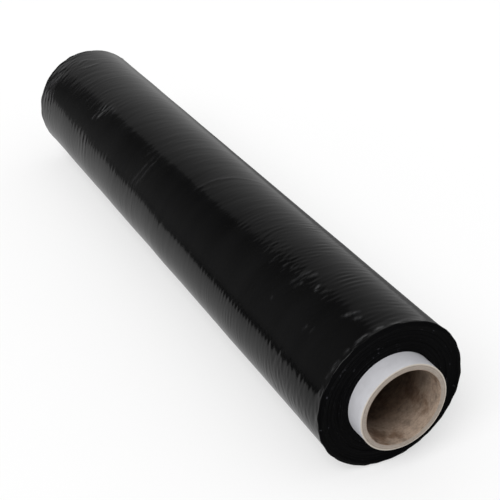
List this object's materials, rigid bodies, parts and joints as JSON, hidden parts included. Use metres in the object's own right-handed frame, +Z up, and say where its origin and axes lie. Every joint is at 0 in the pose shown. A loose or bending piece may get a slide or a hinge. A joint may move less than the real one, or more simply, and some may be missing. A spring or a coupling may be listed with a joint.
{
  "type": "stretch wrap roll",
  "caption": "Black stretch film wound tight on a paper tube that stands proud of it at both ends, lying on its side; wraps goods and pallet loads.",
  "frame": {"origin": "under the middle of the roll, on the surface that it lies on", "axes": "+X along the roll and its core, +Y across it, +Z up"},
  "size_m": [0.526, 0.097, 0.0967],
  "materials": {
    "film": "glossy",
    "core_board": "matte, white outside, buff cut ends, grey-brown bore"
  },
  "bodies": {
    "root": {"film_roll": "film", "core_tube": "core_board"}
  },
  "joints": []
}
